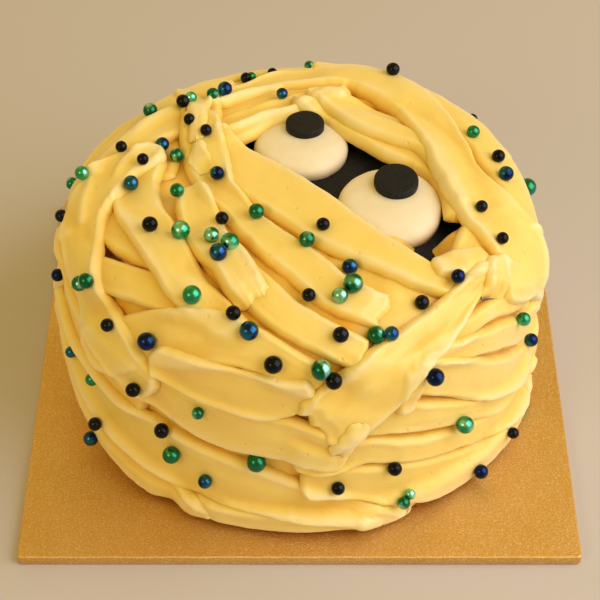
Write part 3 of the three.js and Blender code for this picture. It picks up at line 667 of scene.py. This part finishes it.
def makeCoat():
    turn = np.linspace(0, 2 * pi, coat["sides"], endpoint=False)
    a, b, lean = coat["length"] / 2, coat["width"] / 2, radians(coat["turn"])
    gapX = coat["x"] + a * np.cos(turn) * np.cos(lean) - b * np.sin(turn) * np.sin(lean)
    gapY = coat["y"] + a * np.cos(turn) * np.sin(lean) + b * np.sin(turn) * np.cos(lean)
    rim = unit(np.stack([gapX, gapY, np.full_like(gapX, dome["up"] - 12)], -1))
    foot = direction(np.degrees(np.arctan2(gapX - coat["x"], -(gapY - coat["y"]))), turn * 0 + coat["foot"])
    share = np.linspace(0, 1, coat["rings"])[:, None, None]
    d = unit(rim * (1 - share) + foot * share + 0.35 * share * (1 - share) * np.array([0, 0, 1]))
    bumps = 0.7 * softNoise(71, d[..., 0] * 14 + 20, d[..., 1] * 14 + d[..., 2] * 9 + 20)
    height = coatHeight(d) + bumps
    for bearing, elevation, reach, drop in coat["cracks"]:
        away = np.linalg.norm((d - direction(bearing, elevation)) * [1, 1, 2.2], axis=-1)
        height = height - drop * np.exp(-(away / radians(reach)) ** 4)
    height[:2] -= np.array([[1.6], [0.5]])
    face, normal = onDome(d), domeNormal(onDome(d))
    outer = face + normal * height[..., None]
    inner = face + normal * (height - coat["thick"])[..., None]
    rings, sides = coat["rings"], coat["sides"]
    points = np.vstack([outer.reshape(-1, 3), inner.reshape(-1, 3)])
    floor = boardHigh.z + 0.05
    points[:, 2] = np.maximum(points[:, 2], floor)
    faces = []
    deep = rings * sides
    for i in range(rings - 1):
        for j in range(sides):
            p, q = i * sides + j, i * sides + (j + 1) % sides
            faces.append((p, p + sides, q + sides, q))
            faces.append((deep + p, deep + q, deep + q + sides, deep + p + sides))
    last = (rings - 1) * sides
    for j in range(sides):
        k = (j + 1) % sides
        faces.append((j, k, deep + k, deep + j))
        faces.append((last + j, deep + last + j, deep + last + k, last + k))
    piece = makeObject("icingCoat", points, faces, icing, slot="icing", replaced=["icing_ribbons"])
    # painted shade on the coat where it lies below the ribbons around it
    paintedShading = np.clip((heightAt(d, blurredRelief) - height) / paintedShadeDepth, 0, 1).ravel()
    setHollow(piece, np.r_[paintedShading, paintedShading])
    setFlatMap(piece, points[:, :2] / 10)
    return piece


makeCoat()

# The pieces that the ribbons are joined into; those not named here go to wrapTop
pieceNames = ("wrapUnder", "wrapBack", "wrapSides", "wrapTop", "wrapFront")
joinedIn = {
    "wrapUnder": [spec["name"] for spec in fillRibbons()],
    "wrapBack": [spec["name"] for spec in backRibbons()],
    "wrapSides": ["leftLump", "baseLeft", "baseFront", "baseRight", "sideLow", "sideHigh", "underArc",
                  "longLow", "rimRight", "rightLow", "rightMid", "rightHigh", "midFront", "fanA", "fanB",
                  "rightBand"],
    "wrapFront": ["innerArc", "shoulder", "bigArc", "diagLow", "torn", "diagUp", "big6", "bigTear", "drip",
                  "short5", "under7a"],
}
pieceOf = {ribbon: piece for piece, members in joinedIn.items() for ribbon in members}
for name in pieceNames:
    skins = [skinOf(ribbon) for ribbon in laid if pieceOf.get(ribbon["name"], "wrapTop") == name]
    joinSkins(name, skins, blurredRelief, slot="icing", replaced=["icing_ribbons"])


# Round pieces: the cake's black top, eyes and pupils, from a profile of (radius, height)
def turned(name, profile, sides, material, bumps=0.0, seed=0, lean=None, place=(0, 0, 0), shade=None,
           **options):
    profile = np.array(profile, float)
    turn = np.linspace(0, 2 * pi, sides, endpoint=False)
    ring = profile[1:-1]
    points = np.stack([ring[:, None, 0] * np.cos(turn), ring[:, None, 0] * np.sin(turn),
                       ring[:, None, 1] + 0 * turn], -1)
    points += bumps * softNoise(seed, points[..., 0] / 4 + 30, points[..., 1] / 4 + 30)[..., None] * [0, 0, 1]
    points += 0.5 * bumps * softNoise(seed + 1, np.cos(turn) * 2 + 9, np.sin(turn) * 2 + 9)[None, :, None] * \
        np.stack([np.cos(turn), np.sin(turn), 0 * turn], -1)
    flat = np.vstack([points.reshape(-1, 3), [0, 0, profile[0, 1]], [0, 0, profile[-1, 1]]])
    if lean is not None:
        flat = flat @ np.array(Matrix.Rotation(radians(lean), 3, "X").transposed())
    flat = flat + np.array(place)
    first, last = len(flat) - 2, len(flat) - 1
    faces = []
    for j in range(sides):
        k = (j + 1) % sides
        faces.append((first, j, k)[::-1] if profile[0, 1] > profile[-1, 1] else (first, k, j))
        end = (len(ring) - 1) * sides
        faces.append((last, end + j, end + k) if profile[0, 1] < profile[-1, 1] else (last, end + k, end + j))
        for i in range(len(ring) - 1):
            faces.append((i * sides + j, i * sides + k, (i + 1) * sides + k, (i + 1) * sides + j))
    piece = makeObject(name, flat, faces, material, **options)
    if shade is not None:
        values = np.repeat(shade(ring), sides)
        setHollow(piece, np.r_[values, 0, 0])
    return piece


core = {"radius": 100.5, "up": 76, "down": 50, "power": 3.8}


def coreTop(x, y):
    across = np.hypot(x, y) / core["radius"]
    return heart[2] + core["up"] * (1 - across ** core["power"]) ** (1 / core["power"])


def makeCore():
    elevation = np.radians(np.linspace(-17, 90, 90))
    d = np.stack([np.cos(elevation), 0 * elevation, np.sin(elevation)], -1)
    p = onDome(d, core)
    profile = [(0, boardHigh.z + 0.3), (p[0, 0], boardHigh.z + 0.3), *[(q[0], q[2]) for q in p[1:-1]],
               (0, p[-1, 2])]
    turned("blackCake", profile, 144, blackIcing, bumps=0.35, seed=41, slot="black_icing",
           replaced=["cake_core"])


def buttonProfile(diameter, height, fullness, depth, steps):
    radius = diameter / 2
    turn = np.radians(np.linspace(0, 90, steps))
    out = radius * np.cos(turn) ** (2 / fullness)
    rise = height * (0.25 + 0.75 * np.sin(turn) ** (2 / fullness))
    return [(0, -depth), (radius - 1.5, -depth), (radius - 0.5, -0.3 * height), *zip(out[:-1], rise[:-1]),
            (0, rise[-1])]


eyes = {
    "eye_left": {"x": 0.7, "y": 29, "diameter": 43.5, "height": 9.5, "lean": 0},
    "eye_right": {"x": 40.2, "y": -14, "diameter": 47, "height": 10.5, "lean": 7},
}
pupils = {
    "pupil_left": {"eye": "eye_left", "diameter": 18, "aside": 1.9, "ahead": 7.5, "height": 4.6},
    "pupil_right": {"eye": "eye_right", "diameter": 20, "aside": 3, "ahead": 8.5, "height": 4.6},
}


def makeEyes():
    for k, (node, eye) in enumerate(eyes.items()):
        place = (eye["x"], eye["y"], coreTop(eye["x"], eye["y"]))
        turned(node.replace("_l", "L").replace("_r", "R"),
               buttonProfile(eye["diameter"], eye["height"], 2.4, 2, 40), 128, sugar, bumps=0.12, seed=51 + k,
               lean=eye["lean"], place=place, slot="ivory_sugar", replaced=[node],
               shade=lambda ring, h=eye["height"]: np.clip(1 - (ring[:, 1] + 0.5) / (0.75 * h), 0, 1) ** 1.6)
    for k, (node, pupil) in enumerate(pupils.items()):
        eye = eyes[pupil["eye"]]
        lift = Matrix.Rotation(radians(eye["lean"]), 3, "X") @ Vector(
            (pupil["aside"], pupil["ahead"], eye["height"] - 1))
        place = np.array([eye["x"], eye["y"], coreTop(eye["x"], eye["y"])]) + np.array(lift)
        turned(node.replace("_l", "L").replace("_r", "R"),
               buttonProfile(pupil["diameter"], pupil["height"], 7, 2, 26), 96, blackIcing, bumps=0.15,
               seed=61 + k, lean=eye["lean"], place=place, slot="black_icing", replaced=[node])


makeCore()
makeEyes()
print("cake top and eyes made")

# Where the photo is taken from, in millimetres; its frame is 600 pixels wide and high
cameraView = {"place": (0.3, -707.5, 682.5), "pitch": 42, "lens": 120.4, "sensor": 36, "frame": 600}
cameraPlace = np.array(cameraView["place"])
pitch = radians(cameraView["pitch"])
viewAhead = np.array([0, np.cos(pitch), -np.sin(pitch)])
viewUp = np.array([0, np.sin(pitch), np.cos(pitch)])

# Sugar pearls that show: (pixels across, pixels down, diameter), then more by an even spread
pearlSpread = {"spacing": 30, "size": 6.3, "highest": 62, "lowest": -9, "sunk": 0.16, "hidden": -0.12}
pearls = {
    "black": [
        (273.5, 74, 5), (183, 101, 6.5), (189, 119, 5.5), (206, 130, 5.5), (121, 146, 5.5),
        (143, 159, 5.5), (62, 216, 6), (150, 224, 7), (222, 218, 6), (323, 224, 6), (309, 295, 6),
        (233.5, 313, 6.5), (107, 325, 6), (422, 302, 6.5), (341, 335, 7), (273.5, 365, 8),
        (334, 381.5, 7.5), (393, 69, 6.5), (472, 119, 5), (498.5, 156, 6), (481.5, 206, 5.5),
        (503, 238, 5.5), (161.5, 431, 7), (338, 488.5, 6), (395, 469, 6.5), (513, 433, 5.5),
        (246, 78, 5.5), (133, 390, 6.5), (95, 424, 6.5)],
    "blue": [
        (225, 89, 7), (161, 145, 6.5), (131, 183, 7), (217, 173, 6.5), (218, 252, 8), (249, 331, 8.5),
        (146.5, 341.5, 8), (350, 266.5, 7), (391.5, 334, 6.5), (436, 378, 8), (458, 276, 6.5),
        (506, 173.5, 7), (531, 340, 6.5), (67, 343.5, 5), (71, 352, 5.5), (205, 481.5, 6.5),
        (481, 471.5, 7), (57, 275, 6), (282, 93.5, 5.5), (90, 439, 7)],
    "green": [
        (213, 94, 6), (191, 97.5, 5.5), (151, 111, 7), (176.5, 155, 6.5), (82, 173, 6.5), (72, 183.5, 6),
        (177, 190, 6.5), (181, 230, 8.5), (211.5, 235, 7), (230, 241.5, 8), (256.5, 211, 7),
        (307, 239, 7), (59, 246, 5), (79, 283.5, 7), (86, 281, 7), (353, 283, 8.5), (340, 295, 7),
        (192, 295, 8.5), (376.5, 335, 8), (321, 370, 9), (473.5, 131.5, 6), (525, 188, 8.5),
        (523.5, 319, 6.5), (93, 379, 6), (171, 455, 8), (198, 413.5, 5.5), (256.5, 461, 9), (410, 494, 5),
        (403.5, 503, 6), (465, 425, 8), (523, 405, 6), (251, 77, 5)],
}


def inPhoto(points):
    away = points - cameraPlace
    scale = cameraView["lens"] / cameraView["sensor"] * cameraView["frame"] / (away @ viewAhead)
    middle = cameraView["frame"] / 2
    return np.stack([middle + scale * away[..., 0], middle - scale * (away @ viewUp)], -1)


def facingCamera(d, points):
    return (domeNormal(onDome(d)) * unit(cameraPlace - points)).sum(-1)


# how a pearl's place on the icing is found: steps in degrees, distances in pixels
pearlSearch = {"grid": 2.0, "finest": 0.1, "gain": 0.02, "turned": -0.22, "highest": 88, "near": 2.5}
bearings, elevations = np.arange(-180, 180, pearlSearch["grid"]), np.arange(-16, 86, pearlSearch["grid"])
roughAngles = np.stack(np.meshgrid(bearings, elevations, indexing="ij"), -1).reshape(-1, 2)
roughDirs = direction(roughAngles[:, 0], roughAngles[:, 1])
roughPoints = onDome(roughDirs) + domeNormal(onDome(roughDirs)) * (heightAt(roughDirs) + 2)[:, None]
shows = facingCamera(roughDirs, roughPoints) > pearlSearch["turned"]
roughAngles, roughPixels = roughAngles[shows], inPhoto(roughPoints[shows])


def findPearl(across, down, size):
    # the direction in which a pearl that rests on the icing is seen at its place in the photo
    def miss(bearing, elevation):
        d = direction(bearing, elevation)
        centre = settled(d, size)
        behind = max(0, pearlSearch["turned"] - float(facingCamera(d, centre)))
        return float(np.hypot(*(inPhoto(centre) - [across, down]))) + 200 * behind

    bearing, elevation = roughAngles[np.argmin(np.hypot(*(roughPixels - [across, down]).T))]
    best, step = miss(bearing, elevation), pearlSearch["grid"]
    while step > pearlSearch["finest"]:
        wide = step / max(np.cos(radians(elevation)), 0.25)
        tries = [(bearing + i * wide, min(elevation + j * step, pearlSearch["highest"]))
                 for i in (-1, 0, 1) for j in (-1, 0, 1)]
        misses = [miss(*angles) for angles in tries]
        nearest = int(np.argmin(misses))
        if misses[nearest] < best - pearlSearch["gain"]:
            best, (bearing, elevation) = misses[nearest], tries[nearest]
        else:
            step /= 2
    if best > pearlSearch["near"]:
        print("pearl off its place:", (across, down), "by", round(best, 1))
    return direction(bearing, elevation)


def spreadPearls():
    placed = [(kind, findPearl(*pearl), pearl[2]) for kind, group in pearls.items() for pearl in group]
    low, high = [np.sin(np.radians(pearlSpread[key])) for key in ("lowest", "highest")]
    for k in range(1, 600):
        elevation = np.degrees(np.arcsin(low + (high - low) * (k * 0.7549 % 1)))
        d = direction(360 * (k * 0.5698 % 1), elevation)
        spot = onDome(d)
        if domeNormal(spot) @ -viewAhead > pearlSpread["hidden"]:
            continue  # the photo shows where these are
        if all(np.linalg.norm(onDome(other) - spot) > pearlSpread["spacing"] for _, other, _ in placed):
            kind = ("black", "green", "blue")[k % 3]
            placed.append((kind, d, pearlSpread["size"] + 1.5 * np.sin(k)))
    return placed


def restingHeight(d, size):
    # where a ball of this size comes to rest on the relief, pressed in a little
    tangent = unit(np.cross(domeNormal(onDome(d)), [0.3, 0.2, 0.9]))
    other = np.cross(domeNormal(onDome(d)), tangent)
    best = float(heightAt(d)) + size / 2
    for reach in (0.2, 0.35, 0.45):
        turn = np.linspace(0, 2 * pi, 12, endpoint=False)
        offset = np.cos(turn)[:, None] * tangent + np.sin(turn)[:, None] * other
        around = unit(onDome(d) + size * reach * offset - heart)
        lift = heightAt(around) + size * np.sqrt(0.25 - reach ** 2)
        best = max(best, float(np.sort(lift)[-3]))
    return best - pearlSpread["sunk"] * size


def settled(d, size):
    # the middle of a pearl that rests on the icing, kept under the top of the model's box
    centre = onDome(d) + domeNormal(onDome(d)) * restingHeight(d, size)
    centre[2] = np.clip(centre[2], boardHigh.z + size / 2, cadBox[1][2] * 1000 - 0.53 * size)
    return centre


def makePearls():
    random = np.random.default_rng(5)
    ball = bmesh.new()
    bmesh.ops.create_icosphere(ball, subdivisions=3, radius=0.5)
    ballPoints = np.array([v.co for v in ball.verts])
    ballFaces = [tuple(v.index for v in face.verts) for face in ball.faces]
    ball.free()
    placed = spreadPearls()
    for kind in pearls:
        points, faces, tints = [], [], []
        for _, d, size in [p for p in placed if p[0] == kind]:
            squeeze = 1 + random.uniform(-0.03, 0.03, 3)
            start = len(points) * len(ballPoints)
            points.append(ballPoints * size * squeeze + settled(d, size))
            faces += [tuple(start + k for k in face) for face in ballFaces]
            tints.append(np.full(len(ballPoints), random.uniform(0, 1) ** 1.5))
        piece = makeObject("pearls" + kind.capitalize(), np.vstack(points), faces, pearlFinish[kind],
                           slot="pearl_" + kind, replaced=["icing_ribbons"])
        setHollow(piece, np.concatenate(tints), "tint")
        print(piece.name, len(points))


makePearls()

# The board: card wrapped in gold foil, with rounded corners and a small round along each edge
boardCard = {"corner": 2.2, "round": 0.7, "cornerSteps": 8}


def makeBoard():
    half = boardHigh.x
    corner = boardCard["corner"]
    angles = np.radians(np.linspace(0, 90, boardCard["cornerSteps"]))
    outline = []
    for k, (sx, sy) in enumerate(((1, 1), (-1, 1), (-1, -1), (1, -1))):
        for angle in angles + k * pi / 2:
            outline.append((sx, sy, np.cos(angle), np.sin(angle)))
    outline = np.array(outline)

    def ring(inset, height):
        reach = corner - inset
        x = outline[:, 0] * (half - corner) + outline[:, 2] * reach
        y = outline[:, 1] * (half - corner) + outline[:, 3] * reach
        return np.stack([x, y, np.full(len(outline), height)], -1)

    top, low, soft = boardHigh.z, boardLow.z, boardCard["round"]
    quarter = np.radians(np.linspace(0, 90, 5))
    rings = [ring(soft * (1 - np.sin(a)), low + soft * (1 - np.cos(a))) for a in quarter]
    rings += [ring(soft * (1 - np.cos(a)), top - soft * (1 - np.sin(a))) for a in quarter]
    count = len(outline)
    faces = [tuple(range(count))[::-1]]
    for i in range(len(rings) - 1):
        for j in range(count):
            k = (j + 1) % count
            faces.append((i * count + j, i * count + k, (i + 1) * count + k, (i + 1) * count + j))
    faces.append(tuple((len(rings) - 1) * count + j for j in range(count)))
    piece = makeObject("goldBoard", np.vstack(rings), faces, goldCard,
                       slot="gold_card", replaced=["cake_board"])
    for face in piece.data.polygons:
        face.use_smooth = len(face.vertices) == 4


makeBoard()
print("board made")


# Floor, light and camera
def makeStudio():
    ground, tree, shader = newMaterial("paleFloor", **{"Base Color": (0.56, 0.53, 0.60, 1), "Roughness": 0.7})
    bpy.ops.mesh.primitive_plane_add(size=8)
    floor = bpy.context.object
    floor.name = "floor"
    floor.data.materials.append(ground)
    lamps = {
        "key": {"place": (0.9, -0.3, 0.75), "size": 1.3, "energy": 12.4, "colour": (1.0, 1.0, 1.0)},
        "fill": {"place": (-0.7, -0.8, 0.75), "size": 0.4, "energy": 2.2, "colour": (1.0, 0.9, 0.7)},
        "back": {"place": (-0.5, 0.9, 0.8), "size": 0.8, "energy": 0.7, "colour": (1.0, 0.97, 0.9)},
    }
    for name, lamp in lamps.items():
        light = bpy.data.lights.new(name, "AREA")
        light.size = lamp["size"]
        light.energy = lamp["energy"]
        light.color = lamp["colour"]
        held = bpy.data.objects.new(name, light)
        scene.collection.objects.link(held)
        held.location = lamp["place"]
        aim = Vector((0, 0, 0.06)) - Vector(lamp["place"])
        held.rotation_euler = aim.to_track_quat("-Z", "Y").to_euler()
    world = bpy.data.worlds.new("studio")
    world.use_nodes = True
    world.node_tree.nodes["Background"].inputs[0].default_value = (1.0, 0.69, 0.12, 1)
    world.node_tree.nodes["Background"].inputs[1].default_value = 0.6
    scene.world = world
    scene.view_settings.view_transform = "Standard"


def makeCamera():
    data = bpy.data.cameras.new("camera")
    data.sensor_width = cameraView["sensor"]
    data.lens = cameraView["lens"]
    camera = bpy.data.objects.new("camera", data)
    scene.collection.objects.link(camera)
    camera.location = cameraPlace / 1000
    camera.rotation_euler = (radians(90 - cameraView["pitch"]), 0, 0)
    scene.camera = camera


makeStudio()
makeCamera()
print("studio ready")
